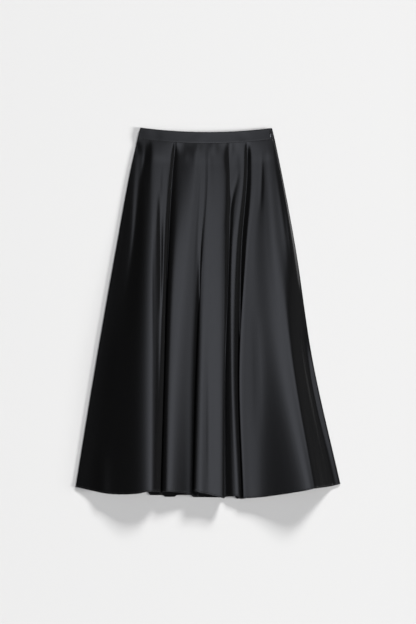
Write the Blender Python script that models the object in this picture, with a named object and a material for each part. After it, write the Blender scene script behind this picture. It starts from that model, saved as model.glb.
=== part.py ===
"""Maxi skirt of black satin, laid flat: waist towards +Y, hem towards -Y, front up.

The origin is the middle of the underside of the whole skirt. Lengths in the tables are
millimetres and become metres when a mesh is made.
"""

from collections import namedtuple
from math import copysign, cos, pi, radians, sin

import bmesh
import bpy
import numpy as np
from mathutils import Vector

MM = 0.001

# Driving sizes, in millimetres
CLOTH = 1.5  # wall of a skirt panel
BAND_CLOTH = 2.2  # wall of the waistband, which is double and interfaced
SEAM_GAP = 0.3  # between sewn pieces
BAND_HEIGHT = 28.8
BAND_TOP_Y = 460.0  # top edge of the waistband, on the centre line
BAND_TOP_LEFT = -172.4
BAND_TOP_RIGHT = 163.1
BAND_SEAM_LEFT = -179.0
BAND_SEAM_RIGHT = 169.7
BAND_SAG = 11.8  # how far the band dips between its ends
BAND_HALF = 172.0  # half the width over which it dips
BAND_CROWN = 2.6  # how far the front half of the band arches up in its middle

# Heights of the layers' middles above the surface that the skirt lies on
BACK_PANEL_MIDDLE = CLOTH / 2
BACK_BAND_MIDDLE = BAND_CLOTH / 2
FRONT_BAND_MIDDLE = BAND_CLOTH * 1.5 + SEAM_GAP
FRONT_LOW = CLOTH * 1.5 + SEAM_GAP + 0.05  # where the front panel lies on the back

# The front panel's form. Each row is one line that runs from the waist seam to the hem: a seam,
# a fold's foot, flank, edge or crest. "across" is its x at the five levels, "height" its middle
# height at the last four (at the waist seam the panel is as high as the band), and "hem" the y
# of its end. Where x turns back, one fold lies over the next.
LEVELS = (0.0, 0.06, 0.30, 0.64, 1.0)  # share of the length from waist seam to hem
RISE = 0.045  # share of the length over which the folds rise from the waist seam
RISE_SPEED = 1.6  # above 1 they rise fastest right at the seam
Line = namedtuple("Line", "name across height hem")
LOW = FRONT_LOW
FRONT_LINES = (
    Line("left side seam", (-179, -191.4, -232, -284.7, -337), (LOW, LOW, LOW, LOW), -444),
    Line("left shelf", (-174, -183, -200, -257, -299), (3.1, 7.2, 6.6, 7.4), -452),
    Line("first flute, rise", (-166, -170, -188, -228, -246), (3.7, 8.6, 13.4, 17.8), -460.2),
    Line("first flute, left", (-150, -156, -167, -177, -181), (5.2, 14.2, 24.4, 30.6), -458),
    Line("first flute, crest", (-139, -140, -144, -145, -149), (7.5, 16.2, 26.3, 32.2), -452),
    Line("first flute, right", (-122, -122, -136, -134, -136), (7.3, 15.7, 24.9, 30.8), -452),
    Line("narrow pleat, foot", (-110, -112, -119, -126, -130), (6.8, 13.3, 23.2, 28.4), -453),
    Line("narrow pleat", (-101, -103, -111, -119, -126), (6.2, 12.9, 22.0, 25.2), -453),
    Line("first flute, edge", (-92, -96, -104.5, -112, -121), (5.2, 10.6, 18.0, 20.8), -454),
    Line("second flute, fold", (-80, -90, -101, -113, -123.5), (3.9, 6.8, 10.6, 12.6), -464),
    Line("second flute, flank", (-70, -76, -92, -104, -113), (4.9, 11.2, 17.6, 19.6), -454),
    Line("second flute, crest", (-30, -34, -58, -87, -99), (8.3, 13.4, 19.5, 21.6), -453.2),
    Line("second flute, right", (-22, -23, -36, -52, -56), (8.0, 12.0, 16.4, 15.6), -458.8),
    Line("second flute, end", (-17, -17, -26, -36, -41.5), (7.8, 11.0, 14.4, 13.4), -463),
    Line("middle pleat, fold", (-12, -11, -20.5, -19.3, -26), (7.7, 10.8, 10.0, 9.0), -468),
    Line("middle pleat, turn", (-8, -7, -17.5, -17.3, -24), (7.7, 10.95, 13.4, 13.6), -467),
    Line("middle pleat, left", (-4, -3, -15.5, -26.5, -33.5), (7.9, 11.4, 19.2, 22.6), -451),
    Line("middle pleat, top", (2, 2, -10.5, -19, -24), (8.1, 12.0, 21.0, 24.8), -454.5),
    Line("middle pleat, step", (14, 15, 12, 2, 3), (7.4, 12.0, 20.4, 23.0), -460),
    Line("middle pleat, flat", (32, 35, 36, 37, 37), (6.0, 11.0, 19.4, 21.9), -468.5),
    Line("middle pleat, right", (46, 49, 45, 40.5, 41.5), (4.8, 9.6, 17.8, 19.4), -469),
    Line("inner ridge, foot", (54, 55, 52, 43, 43), (3.7, 5.7, 7.0, 6.6), -469),
    Line("inner ridge, rise", (61, 61, 58, 52, 58), (4.2, 7.8, 9.2, 8.9), -467),
    Line("inner ridge", (78, 80, 66, 61, 73.5), (5.0, 8.3, 10.2, 11.0), -466.5),
    Line("inner ridge, end", (94, 94, 76, 70, 83), (4.6, 7.9, 9.3, 10.2), -473),
    Line("third flute, fold", (101, 103.5, 87, 83, 94), (2.9, 4.4, 5.6, 6.2), -473),
    Line("third flute, turn", (105, 108.5, 92.5, 84, 95), (3.8, 6.4, 8.4, 9.2), -473),
    Line("third flute, edge", (110, 114.5, 97, 79, 89), (4.9, 9.2, 11.2, 12.2), -471.5),
    Line("third flute, top", (119, 123, 103, 87, 97), (5.3, 9.8, 11.8, 13.1), -471.3),
    Line("third flute, slope", (133, 136, 127, 134, 138), (6.0, 11.2, 15.0, 16.3), -468),
    Line("last flute, rise", (141, 143, 148, 167, 216), (6.5, 14.1, 20.7, 31.0), -456),
    Line("last flute, crest", (150, 153, 168, 198, 254), (7.1, 15.8, 23.0, 34.7), -446.5),
    Line("last flute, right", (160, 166, 188, 213, 273), (6.7, 15.3, 22.4, 33.6), -444),
    Line("last flute, fall", (165, 172.5, 202, 234.5, 298), (6.2, 14.6, 13.5, 15.5), -442.5),
    Line("last flute, foot", (167, 177.5, 213.5, 251, 316), (5.4, 12.4, 3.7, 4.1), -441),
    Line("right side seam", (169.7, 180.7, 220.6, 266.2, 337), (LOW, LOW, LOW, LOW), -436.5),
)
# The back panel's hem: where it shows below the front's flutes it dips a little.
BackHem = namedtuple("BackHem", "share y")
BACK_HEM = (
    BackHem(0.0, -444),
    BackHem(0.10, -455),
    BackHem(0.19, -458.5),
    BackHem(0.27, -461),
    BackHem(0.285, -465),
    BackHem(0.325, -466),
    BackHem(0.345, -469.3),
    BackHem(0.365, -469.3),
    BackHem(0.385, -465.6),
    BackHem(0.41, -465.2),
    BackHem(0.437, -465.8),
    BackHem(0.45, -469.3),
    BackHem(0.475, -469.8),
    BackHem(0.55, -469.8),
    BackHem(0.58, -467.2),
    BackHem(0.66, -467.5),
    BackHem(0.80, -459),
    BackHem(1.0, -436.5),
)

PANEL_ROWS = 24  # from waist to hem
ROW_SPREAD = 1.2  # above 1 the rows lie closer together near the waist
FRONT_STEPS = 2  # columns from one line to the next
BACK_COLUMNS = 32
BACK_ROWS = 12
BAND_COLUMNS = 24
BAND_ROWS = 4
SHARP_ANGLE = 40  # degrees; a fold is shaded smooth, the cloth's own edges are not

# The zip's slider and pull tab, in millimetres
ZIP_X = 159.2
ZIP_Y = 457.5  # the pull tab's hinge
SLIDER_WIDTH = 5.0
SLIDER_LENGTH = 8.6
SLIDER_PLATE = 1.2
SLIDER_SQUARENESS = 0.5  # 1 would make the plate an ellipse
SLIDER_STEPS = 24
ARCH_WIDTH = 1.2
ARCH_HALF = 2.3  # half the arch's length along the zip
ARCH_BAR = 0.8
ARCH_ROOM = 1.6  # height of the room under the arch
TAB_PLATE = 0.8
TAB_LENGTH = 11.0  # from the hinge to the tip
TAB_NECK = 1.75  # half the width round the arch
TAB_LOBE = 2.3  # half the width of the round end
TAB_BAR = 0.4  # half the bar that turns under the arch
TAB_HOLE_LENGTH = 2.8
TAB_HOLE_HALF = 1.0
TAB_STEPS = 12  # round the lobe

# Colours
SATIN_BLACK = (0.006, 0.006, 0.007)
SATIN_ROUGHNESS = 0.3
METAL_GREY = (0.55, 0.55, 0.57)
METAL_ROUGHNESS = 0.25


def clear_objects():
    """Removes the objects that the scene starts with."""
    for thing in list(bpy.data.objects):
        bpy.data.objects.remove(thing, do_unlink=True)


def plain_material(name, colour, roughness, metallic):
    """A Principled material of one colour."""
    material = bpy.data.materials.new(name)
    material.use_nodes = True
    shader = material.node_tree.nodes["Principled BSDF"]
    shader.inputs["Base Color"].default_value = (*colour, 1.0)
    shader.inputs["Roughness"].default_value = roughness
    shader.inputs["Metallic"].default_value = metallic
    material.diffuse_color = (*colour, 1.0)
    return material


def add_object(name, mesh, material):
    """Puts a mesh into the scene as an object of its own."""
    mesh.materials.append(material)
    thing = bpy.data.objects.new(name, mesh)
    bpy.context.scene.collection.objects.link(thing)
    return thing


def smooth_track(stations, values, places):
    """A smooth curve through values at stations, read at places (cubic Hermite)."""
    stations = np.asarray(stations, float)
    values = np.asarray(values, float)
    slopes = np.gradient(values, stations)
    found = np.searchsorted(stations, places, side="right") - 1
    at = np.clip(found, 0, len(stations) - 2)
    width = stations[at + 1] - stations[at]
    t = (places - stations[at]) / width
    start = values[at] * (1 + 2 * t) * (1 - t) ** 2 + slopes[at] * width * t * (1 - t) ** 2
    end = values[at + 1] * t**2 * (3 - 2 * t) - slopes[at + 1] * width * t**2 * (1 - t)
    return start + end


def section_curve(points, steps):
    """A smooth curve through the points of one section, steps points to a span.

    It is a centripetal Catmull-Rom curve, which keeps its bends tight where points are close.
    """
    points = np.asarray(points, float)
    first = 2 * points[0] - points[1]
    last = 2 * points[-1] - points[-2]
    padded = np.vstack([first, points, last])
    gaps = np.linalg.norm(np.diff(padded[:, :2], axis=0), axis=1) ** 0.5
    knots = np.concatenate([[0.0], np.cumsum(gaps)])
    curve = []
    for i in range(1, len(padded) - 2):
        p0, p1, p2, p3 = padded[i - 1 : i + 3]
        t0, t1, t2, t3 = knots[i - 1 : i + 3]
        for step in range(steps):
            t = t1 + (t2 - t1) * step / steps
            a1 = ((t1 - t) * p0 + (t - t0) * p1) / (t1 - t0)
            a2 = ((t2 - t) * p1 + (t - t1) * p2) / (t2 - t1)
            a3 = ((t3 - t) * p2 + (t - t2) * p3) / (t3 - t2)
            b1 = ((t2 - t) * a1 + (t - t0) * a2) / (t2 - t0)
            b2 = ((t3 - t) * a2 + (t - t1) * a3) / (t3 - t1)
            curve.append(((t2 - t) * b1 + (t - t1) * b2) / (t2 - t1))
    curve.append(padded[-2])
    return np.array(curve)


def band_y(x, below_top):
    """The y of a line that runs along the waistband, below its top edge."""
    return BAND_TOP_Y - below_top + BAND_SAG * (x / BAND_HALF) ** 2


def band_crown(x):
    """How far the front of the waistband stands off the back at x."""
    return BAND_CROWN * np.clip(1 - (x / BAND_HALF) ** 2, 0, 1)


def front_middle():
    """The front panel's middle surface: rows from waist to hem, columns across."""
    shares = np.linspace(0.0, 1.0, PANEL_ROWS + 1) ** ROW_SPREAD
    across = [smooth_track(LEVELS, line.across, shares) for line in FRONT_LINES]
    table_shares = np.maximum(shares, LEVELS[1])
    height = [smooth_track(LEVELS[1:], line.height, table_shares) for line in FRONT_LINES]
    risen = 1 - np.clip(1 - shares / RISE, 0, 1) ** RISE_SPEED
    rows = []
    for i, share in enumerate(shares):
        points = []
        for k, line in enumerate(FRONT_LINES):
            top = band_y(line.across[0], BAND_HEIGHT + SEAM_GAP)
            y = top + (line.hem - top) * share
            seam_z = FRONT_BAND_MIDDLE + band_crown(line.across[0])
            z = seam_z + (height[k][i] - seam_z) * risen[i]
            points.append((across[k][i], z, y))
        x, z, y = section_curve(points, FRONT_STEPS).T
        rows.append(np.column_stack([x, y, np.maximum(z, FRONT_LOW)]))
    return np.array(rows)


def back_middle():
    """The back panel's middle surface, flat, between the same side seams."""
    shares = np.linspace(0.0, 1.0, BACK_ROWS + 1)
    left = smooth_track(LEVELS, FRONT_LINES[0].across, shares)
    right = smooth_track(LEVELS, FRONT_LINES[-1].across, shares)
    columns = np.linspace(0.0, 1.0, BACK_COLUMNS + 1)
    hem = smooth_track([row.share for row in BACK_HEM], [row.y for row in BACK_HEM], columns)
    grid = np.zeros((len(shares), len(columns), 3))
    for i, share in enumerate(shares):
        grid[i, :, 0] = left[i] + (right[i] - left[i]) * columns
        top = band_y(left[0] + (right[0] - left[0]) * columns, BAND_HEIGHT + SEAM_GAP)
        grid[i, :, 1] = top + (hem - top) * share
        grid[i, :, 2] = BACK_PANEL_MIDDLE
    return grid


def band_middle(height, crown):
    """A waistband half's middle surface; crown is the share of the arch that it has."""
    columns = np.linspace(0.0, 1.0, BAND_COLUMNS + 1)
    top_x = BAND_TOP_LEFT + (BAND_TOP_RIGHT - BAND_TOP_LEFT) * columns
    seam_x = BAND_SEAM_LEFT + (BAND_SEAM_RIGHT - BAND_SEAM_LEFT) * columns
    rows = []
    for share in np.linspace(0.0, 1.0, BAND_ROWS + 1):
        x = top_x + (seam_x - top_x) * share
        y = band_y(x, BAND_HEIGHT * share)
        rows.append(np.column_stack([x, y, height + crown * band_crown(x)]))
    return np.array(rows)


def surface_normals(grid):
    """Unit normals of a grid of points, pointing up where the grid lies flat."""
    down = np.gradient(grid, axis=0)
    along = np.gradient(grid, axis=1)
    normals = np.cross(down, along)
    return normals / np.linalg.norm(normals, axis=2, keepdims=True)


def wall_mesh(name, grid, thickness):
    """A closed wall of even thickness on both sides of a grid of points."""
    normals = surface_normals(grid)
    sides = (grid + normals * thickness / 2, grid - normals * thickness / 2)
    build = bmesh.new()
    top, bottom = (
        [[build.verts.new(Vector(point) * MM) for point in row] for row in side] for side in sides
    )
    rows, columns = grid.shape[:2]
    for i in range(rows - 1):
        for j in range(columns - 1):
            build.faces.new((top[i][j], top[i + 1][j], top[i + 1][j + 1], top[i][j + 1]))
            build.faces.new((bottom[i][j], bottom[i][j + 1], bottom[i + 1][j + 1], bottom[i + 1][j]))
    for i in range(rows - 1):
        for j, turned in ((0, False), (columns - 1, True)):
            rim = [top[i][j], bottom[i][j], bottom[i + 1][j], top[i + 1][j]]
            build.faces.new(rim[::-1] if turned else rim)
    for j in range(columns - 1):
        for i, turned in ((0, True), (rows - 1, False)):
            rim = [top[i][j], bottom[i][j], bottom[i][j + 1], top[i][j + 1]]
            build.faces.new(rim[::-1] if turned else rim)
    bmesh.ops.recalc_face_normals(build, faces=build.faces)
    mesh = bpy.data.meshes.new(name)
    build.to_mesh(mesh)
    build.free()
    return mesh


def shade_round(mesh):
    """Smooth shading with sharp edges kept."""
    mesh.shade_smooth()
    mesh.set_sharp_from_angle(angle=radians(SHARP_ANGLE))


def box_mesh(name, low, high):
    """A box from its lowest to its highest corner, in millimetres."""
    build = bmesh.new()
    bmesh.ops.create_cube(build, size=1.0)
    for vert in build.verts:
        for k in range(3):
            vert.co[k] = (low[k] + (high[k] - low[k]) * (vert.co[k] + 0.5)) * MM
    mesh = bpy.data.meshes.new(name)
    build.to_mesh(mesh)
    build.free()
    return mesh


def outline_mesh(name, outline, low, high):
    """A plate: an outline in x and y, raised from low to high, in millimetres."""
    build = bmesh.new()
    floor = build.faces.new([build.verts.new(Vector((x, y, low)) * MM) for x, y in outline])
    raised = bmesh.ops.extrude_face_region(build, geom=[floor])["geom"]
    moved = [item for item in raised if isinstance(item, bmesh.types.BMVert)]
    bmesh.ops.translate(build, verts=moved, vec=(0, 0, (high - low) * MM))
    bmesh.ops.recalc_face_normals(build, faces=build.faces)
    mesh = bpy.data.meshes.new(name)
    build.to_mesh(mesh)
    build.free()
    return mesh


def add_boolean(thing, tool, operation):
    """Joins or cuts thing with tool, which is then only a guide."""
    modifier = thing.modifiers.new(f"{operation.lower()} {tool.name}", "BOOLEAN")
    modifier.operation = operation
    modifier.solver = "EXACT"
    modifier.object = tool
    tool.hide_render = True
    tool.display_type = "WIRE"


def build_waistband(satin):
    """The two halves of the waistband, one on the other."""
    for name, height, crown in (("back", BACK_BAND_MIDDLE, 0), ("front", FRONT_BAND_MIDDLE, 1)):
        mesh = wall_mesh(f"{name}_waistband", band_middle(height, crown), BAND_CLOTH)
        add_object(f"{name}_waistband", mesh, satin)


def build_panels(satin):
    """The flat back panel and the fluted front panel."""
    add_object("back_panel", wall_mesh("back_panel", back_middle(), CLOTH), satin)
    front = wall_mesh("front_panel", front_middle(), CLOTH)
    shade_round(front)
    add_object("front_panel", front, satin)


def build_slider(metal):
    """The slider: a rounded plate with an arch that holds the pull tab.

    Gives the height of the pull tab's hinge, in the middle of the arch's room.
    """
    half_width = SLIDER_WIDTH / 2
    half_length = SLIDER_LENGTH / 2
    highest_under_plate = band_crown(ZIP_X - half_width)
    base = FRONT_BAND_MIDDLE + highest_under_plate + BAND_CLOTH / 2 + SEAM_GAP
    outline = []
    for step in range(SLIDER_STEPS):
        angle = 2 * pi * step / SLIDER_STEPS
        side_x = copysign(abs(cos(angle)) ** SLIDER_SQUARENESS, cos(angle))
        side_y = copysign(abs(sin(angle)) ** SLIDER_SQUARENESS, sin(angle))
        outline.append((ZIP_X + half_width * side_x, ZIP_Y + half_length * side_y))
    plate_top = base + SLIDER_PLATE
    slider = add_object("zip_slider", outline_mesh("zip_slider", outline, base, plate_top), metal)
    room_top = plate_top + ARCH_ROOM
    low = (ZIP_X - ARCH_WIDTH / 2, ZIP_Y - ARCH_HALF, plate_top - SLIDER_PLATE / 2)
    high = (ZIP_X + ARCH_WIDTH / 2, ZIP_Y + ARCH_HALF, room_top + ARCH_BAR)
    arch = add_object("arch_guide", box_mesh("arch_guide", low, high), metal)
    inner = ARCH_HALF - ARCH_BAR
    low = (ZIP_X - ARCH_WIDTH, ZIP_Y - inner, plate_top)
    high = (ZIP_X + ARCH_WIDTH, ZIP_Y + inner, room_top)
    room = add_object("arch_room_guide", box_mesh("arch_room_guide", low, high), metal)
    add_boolean(arch, room, "DIFFERENCE")
    add_boolean(slider, arch, "UNION")
    return plate_top + ARCH_ROOM / 2


def build_pull(metal, hinge_z):
    """The pear-shaped pull tab, with its origin on its hinge."""
    lobe_centre = -(TAB_LENGTH - TAB_LOBE)
    outline = [(TAB_NECK, TAB_BAR), (-TAB_NECK, TAB_BAR)]
    for step in range(TAB_STEPS + 1):
        angle = pi + pi * step / TAB_STEPS
        outline.append((TAB_LOBE * cos(angle), lobe_centre + TAB_LOBE * sin(angle)))
    mesh = outline_mesh("zip_pull", outline, -TAB_PLATE / 2, TAB_PLATE / 2)
    pull = add_object("zip_pull", mesh, metal)
    low = (-TAB_HOLE_HALF, -TAB_BAR - TAB_HOLE_LENGTH, -TAB_PLATE)
    high = (TAB_HOLE_HALF, -TAB_BAR, TAB_PLATE)
    hole = add_object("tab_hole_guide", box_mesh("tab_hole_guide", low, high), metal)
    add_boolean(pull, hole, "DIFFERENCE")
    for thing in (pull, hole):
        thing.location = Vector((ZIP_X, ZIP_Y, hinge_z)) * MM


def main():
    clear_objects()
    satin = plain_material("black_satin", SATIN_BLACK, SATIN_ROUGHNESS, 0.0)
    metal = plain_material("polished_metal", METAL_GREY, METAL_ROUGHNESS, 1.0)
    build_panels(satin)
    build_waistband(satin)
    hinge_z = build_slider(metal)
    build_pull(metal, hinge_z)


main()
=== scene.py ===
"""Looks of a black satin maxi skirt, laid flat: its cloth, waistband, hems, zip, floor and light.

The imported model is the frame. Lengths in the tables are millimetres. The sizes in the sidebar
are metres, as Blender shows them.
"""

from collections import namedtuple
from math import pi, radians

import bmesh
import bpy
import numpy as np
from bpy.props import FloatProperty, FloatVectorProperty, PointerProperty
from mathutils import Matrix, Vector


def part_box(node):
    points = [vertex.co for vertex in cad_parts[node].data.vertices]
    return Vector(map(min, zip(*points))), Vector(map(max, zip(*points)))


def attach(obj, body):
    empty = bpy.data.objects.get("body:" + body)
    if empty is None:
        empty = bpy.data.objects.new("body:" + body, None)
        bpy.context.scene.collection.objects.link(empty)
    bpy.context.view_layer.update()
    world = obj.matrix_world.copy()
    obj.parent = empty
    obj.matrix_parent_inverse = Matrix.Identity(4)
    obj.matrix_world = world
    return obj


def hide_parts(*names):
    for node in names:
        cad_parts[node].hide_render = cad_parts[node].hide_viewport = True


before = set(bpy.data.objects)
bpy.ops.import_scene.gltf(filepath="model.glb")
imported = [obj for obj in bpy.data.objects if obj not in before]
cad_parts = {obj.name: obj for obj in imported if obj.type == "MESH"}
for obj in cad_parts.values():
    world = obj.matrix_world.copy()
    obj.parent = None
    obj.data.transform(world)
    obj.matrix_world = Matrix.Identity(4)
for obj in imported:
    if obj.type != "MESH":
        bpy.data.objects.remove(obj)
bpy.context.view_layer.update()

bl_info = {
    "name": "Satin maxi skirt",
    "version": (1, 0, 0),
    "blender": (4, 5, 0),
    "location": "3D View > Sidebar > Skirt",
    "description": "Cloth, waistband, hems and zip of a black satin maxi skirt, laid flat",
    "category": "Object",
}

MM = 0.001

# The waistband, in millimetres, as the solids have it
BAND_HEIGHT = 28.8
BAND_TOP_Y = 460.0  # top edge of the waistband, on the centre line
BAND_TOP_LEFT = -172.4
BAND_TOP_RIGHT = 163.1
BAND_SEAM_LEFT = -179.0
BAND_SEAM_RIGHT = 169.7
BAND_SAG = 11.8  # how far the band dips between its ends
BAND_HALF = 172.0  # half the width over which it dips
BAND_CROWN = 2.6  # how far the front half of the band arches up in its middle
FRONT_BAND_MIDDLE = 3.6  # height of the front half's middle surface at its ends
BACK_BAND_MIDDLE = 1.1
SEAM_GAP = 0.3  # the groove between sewn pieces

# The front panel's form, as the solid has it. Each row is one line from the waist seam to the hem:
# a seam, a fold's foot, flank, edge or crest. "across" is its x at the five levels, "height" its
# height at the last four, and "hem" the y of its end. Where x turns back, one fold lies over the
# next.
LEVELS = (0.0, 0.06, 0.30, 0.64, 1.0)  # share of the length from waist seam to hem
RISE = 0.045  # share of the length over which the folds rise from the waist seam
RISE_SPEED = 1.6  # above 1 they rise fastest right at the seam
Line = namedtuple("Line", "name across height hem")
LOW = 2.6  # where the front panel lies on the back
FRONT_LINES = (
    Line("left side seam", (-179, -191.4, -231.3, -284.4, -337), (LOW, LOW, LOW, LOW), -444),
    Line("left shelf", (-174, -183, -200, -257, -299), (3.1, 6.8, 6.6, 7.4), -452),
    Line("first flute, rise", (-166, -170, -188, -228, -246), (3.7, 7.8, 13.4, 17.8), -460.2),
    Line("first flute, left", (-150, -156, -167, -177, -181), (5.2, 14.2, 24.4, 29.9), -458),
    Line("first flute, crest", (-141, -144, -144, -145, -150), (7.3, 16.2, 26.3, 32.2), -452),
    Line("first flute, right", (-122, -122, -136, -134, -139), (7.3, 15.7, 24.9, 31.3), -452),
    Line("narrow pleat, foot", (-110, -112, -119, -126, -130), (6.8, 13.3, 23.2, 28.7), -453),
    Line("narrow pleat", (-100, -101, -111, -119, -126), (6.2, 12.9, 21.9, 25.3), -453),
    Line("first flute, edge", (-90, -94, -104.5, -112, -121), (5.5, 10.6, 18.0, 20.8), -454),
    Line("second flute, fold", (-83, -89, -101, -113, -123.5), (3.6, 6.8, 10.6, 12.6), -464),
    Line("second flute, flank", (-70, -76, -94, -106, -114), (5.1, 11.6, 17.6, 19.6), -454),
    Line("second flute, crest", (-30, -34, -60, -90, -100.5), (8.3, 13.4, 19.5, 21.6), -453.2),
    Line("second flute, right", (-22, -23, -36, -52, -56), (8.0, 12.0, 16.4, 15.6), -458.8),
    Line("second flute, end", (-17, -17, -26, -36, -41.5), (7.8, 11.0, 14.4, 13.4), -463),
    Line("middle pleat, fold", (-12, -11, -20.5, -19.3, -26), (7.7, 10.8, 10.0, 9.0), -468),
    Line("middle pleat, turn", (-8, -7, -17.5, -17.3, -24), (7.7, 10.95, 13.4, 13.6), -467),
    Line("middle pleat, left", (-4, -3, -15.5, -27.5, -36), (7.9, 11.4, 19.2, 22.6), -451),
    Line("middle pleat, top", (2, 2, -10.5, -19, -24), (8.1, 12.0, 21.0, 24.8), -454.5),
    Line("middle pleat, step", (14, 15, 12, 2, 3), (7.4, 12.0, 20.4, 23.0), -460),
    Line("middle pleat, flat", (34, 41, 39, 38.5, 38.5), (6.0, 11.0, 19.4, 21.9), -469.8),
    Line("middle pleat, right", (47, 50, 47, 42.2, 42), (4.8, 9.6, 18.2, 20.2), -470),
    Line("inner ridge, foot", (53, 55, 53, 41, 39), (3.9, 5.7, 6.6, 5.4), -469),
    Line("inner ridge, rise", (66, 71, 59, 54, 62), (4.0, 7.8, 9.2, 9.3), -467),
    Line("inner ridge", (83, 86, 65.5, 61, 73.5), (4.9, 8.3, 10.2, 10.3), -466.5),
    Line("inner ridge, end", (94, 94, 75, 70, 82), (4.6, 7.9, 9.3, 9.6), -473),
    Line("third flute, fold", (99, 99.5, 85, 83, 94), (2.9, 4.4, 5.6, 6.2), -473),
    Line("third flute, turn", (103, 104.5, 90, 84, 95), (3.8, 6.4, 8.4, 9.2), -473),
    Line("third flute, edge", (108, 110.5, 95, 79, 89), (4.9, 9.2, 11.2, 12.2), -471.5),
    Line("third flute, top", (119, 124, 103, 87, 97), (5.3, 9.8, 11.8, 13.1), -471.3),
    Line("third flute, slope", (133, 136, 121, 134, 138), (6.0, 11.1, 16.0, 16.9), -468),
    Line("last flute, rise", (141, 143, 148, 181, 247), (6.5, 14.1, 21.8, 36.2), -449),
    Line("last flute, crest", (150, 153, 168, 206, 264), (7.1, 15.8, 22.8, 36.8), -444.8),
    Line("last flute, right", (160, 166, 188, 219, 275), (6.7, 15.3, 22.2, 35.2), -443.2),
    Line("last flute, fall", (165, 172.5, 202, 238, 301), (6.2, 14.6, 13.5, 15.5), -442.5),
    Line("last flute, foot", (167, 177.5, 213.5, 251, 318), (5.4, 12.4, 3.7, 4.1), -441),
    Line("right side seam", (169.7, 180.7, 220.6, 266.2, 337), (LOW, LOW, LOW, LOW), -436.5),
)

# The back panel's hem, from its left side seam to its right: below the front's flutes, where it
# shows, it dips in short steps.
BackHem = namedtuple("BackHem", "share y")
BACK_HEM = [
    BackHem(*row)
    for row in (
        (0.0, -444), (0.10, -454), (0.19, -457), (0.272, -456.5), (0.279, -465),
        (0.331, -465.2), (0.337, -469.4), (0.374, -469.2), (0.381, -464.8), (0.437, -464.6),
        (0.443, -470.0), (0.52, -470.6), (0.556, -471.2), (0.58, -468), (0.60, -466.5),
        (0.607, -474), (0.625, -474), (0.64, -467.5), (0.66, -467.5), (0.80, -459),
        (1.0, -436.5),
    )
]

# How fine the cloth is
PANEL_ROWS = 128  # from waist to hem, without the rows of the rolled hem
ROW_SPREAD = 1.2  # above 1 the rows lie closer together near the waist
FRONT_STEPS = 6  # columns from one line to the next
BACK_COLUMNS = 200
BAND_COLUMNS = 150
TURN_STEPS = 4  # columns of a rounded side edge
SHARP_ANGLE = 55  # degrees
FRONT_TURN = 1.2  # radius with which the front panel turns down at a side seam
BACK_TURN = 0.8

# Soft troughs (height below 0) and ridges of the cloth, placed one by one. Each runs from start
# to end, bows sideways by bow at its middle, and is about twice width across.
CREASE_TAPER = 1.5  # above 1 a crease fades out sooner towards its ends
Crease = namedtuple("Crease", "name start end bow width height")
FRONT_CREASES = (
    Crease("waist, left tuck", (-158, 436), (-172, 330), 3, 5, -0.6),
    Crease("waist, first tuck", (-83, 466), (-97, 322), 3, 3, -0.8),
    Crease("waist, middle tuck", (-50, 432), (-44, 370), 2, 5, -0.4),
    Crease("waist, right tuck", (50, 434), (52, 350), -2, 5, -0.5),
    Crease("waist, last tuck", (102, 436), (98, 360), 2, 5, -0.5),
    Crease("waist, left corner", (-184, 444), (-176, 400), 0, 7, -0.7),
    Crease("waist, soft hollow left", (-72, 460), (-60, 396), 1, 12, -1.0),
    Crease("waist, soft swell left", (-24, 458), (-26, 396), 0, 11, 0.8),
    Crease("waist, soft swell right", (14, 462), (16, 396), 0, 11, 0.9),
    Crease("waist, fine tuck", (54, 420), (53, 262), 1, 3, -0.4),
    Crease("waist, soft hollow right", (58, 462), (57, 392), 0, 9, -0.9),
    Crease("first flute, inner line", (-125, 340), (-121, -30), 2, 5, -1.1),
    Crease("third flute, wedge", (80, 366), (45, 200), -2, 5, -0.7),
    Crease("last flute, dim trough", (136, 420), (132, 250), 2, 5, -0.4),
    Crease("right edge, hollow", (172, 412), (205, 180), 3, 6, -0.8),
    Crease("middle pleat, dim line", (4, -110), (4, -464), 0, 4, -0.5),
    Crease("first flute, hem swell", (-266, -330), (-270, -560), 0, 14, 2.2),
    Crease("left side seam, ridge", (-187, 400), (-342, -480), -4, 4, 0.45),
    Crease("third flute, swell", (122, 20), (126, -330), 3, 8, 0.35),
)
BACK_CREASES = (
    Crease("long fold, left", (-150, 420), (-228, -440), 14, 11, 1.1),
    Crease("long fold, middle left", (-70, 410), (-96, -455), -18, 13, 1.0),
    Crease("long fold, middle", (18, 380), (34, -462), 16, 10, 1.2),
    Crease("long fold, right", (96, 415), (150, -455), -12, 12, 1.0),
    Crease("long fold, far right", (140, 330), (246, -430), 10, 9, 0.9),
    Crease("short crease, upper left", (-120, 300), (-60, 180), 8, 7, 0.7),
    Crease("short crease, upper right", (52, 260), (120, 130), -9, 8, 0.6),
    Crease("short crease, left", (-250, -60), (-190, -250), 10, 9, 0.8),
    Crease("short crease, lower middle", (-20, -120), (-52, -330), -8, 8, 0.8),
    Crease("short crease, lower right", (190, -150), (228, -330), 9, 8, 0.7),
    Crease("pull at the left seam", (-196, 250), (-140, 215), -3, 6, 0.6),
    Crease("pull at the right seam", (206, 120), (150, 70), 3, 6, 0.6),
)

# Section through a rolled hem: distance above its edge, and half the cloth's wall there
HemRow = namedtuple("HemRow", "above half_wall")
HEM_ROWS = [
    HemRow(*row)
    for row in (
        (7.0, 0.35), (5.4, 0.35), (4.8, 0.33), (4.4, 0.24), (4.0, 0.22), (3.7, 0.36),
        (3.4, 0.54), (3.0, 0.62), (2.2, 0.66), (1.4, 0.66), (0.8, 0.63), (0.4, 0.54),
        (0.15, 0.38), (0.03, 0.20), (0.0, 0.08),
    )
]
HEM_CLEAR = 2.0  # how far above the rolled hem the even rows end
STITCH_ABOVE = 4.2  # where the hem's stitching lies, above the edge

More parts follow.
